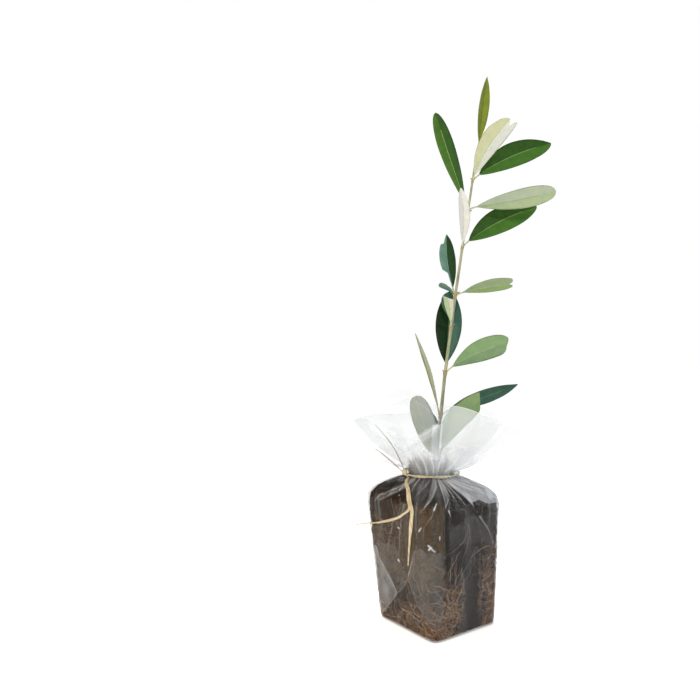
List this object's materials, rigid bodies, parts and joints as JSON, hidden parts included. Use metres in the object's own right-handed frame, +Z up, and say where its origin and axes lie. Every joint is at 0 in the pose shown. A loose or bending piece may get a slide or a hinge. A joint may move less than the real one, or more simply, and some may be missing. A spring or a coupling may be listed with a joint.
{
  "type": "potted olive tree",
  "caption": "Young olive tree: a thin leaning stem with pairs of narrow leaves, on a square root ball wrapped in clear film and tied with raffia at the neck.",
  "frame": {"origin": "middle of the flat underside of the wrapped root ball, where it stands on the ground", "axes": "+Z up, X and Y along the sides of the square root ball; the stem leans towards +X and -Y"},
  "size_m": [0.1367, 0.1271, 0.3864],
  "materials": {
    "peat": "matt, fibrous",
    "film": "clear and glossy",
    "bark": "thin grey-green young bark",
    "leaf": "leathery, pale below",
    "raffia": "dry and fibrous"
  },
  "bodies": {
    "root": {"root_ball": "peat", "film_wrap": "film", "film_collar": "film", "trunk": "bark", "leaf_1_left": "leaf", "leaf_1_small": "leaf", "leaf_1_right": "leaf", "leaf_2_left": "leaf", "leaf_2_right": "leaf", "leaf_3_back": "leaf", "leaf_3_right": "leaf", "leaf_4_front": "leaf", "leaf_4_back": "leaf", "leaf_5_left": "leaf", "leaf_5_right": "leaf", "leaf_5_small": "leaf", "leaf_6_front": "leaf", "leaf_6_right": "leaf", "leaf_7_left": "leaf", "leaf_7_right": "leaf", "leaf_8_front": "leaf", "leaf_8_right": "leaf", "leaf_9_tip": "leaf", "tie_band": "raffia", "tie_knot": "raffia", "tie_tail_long": "raffia", "tie_tail_side": "raffia", "tie_end_upper": "raffia", "tie_end_lower": "raffia"}
  },
  "joints": []
}
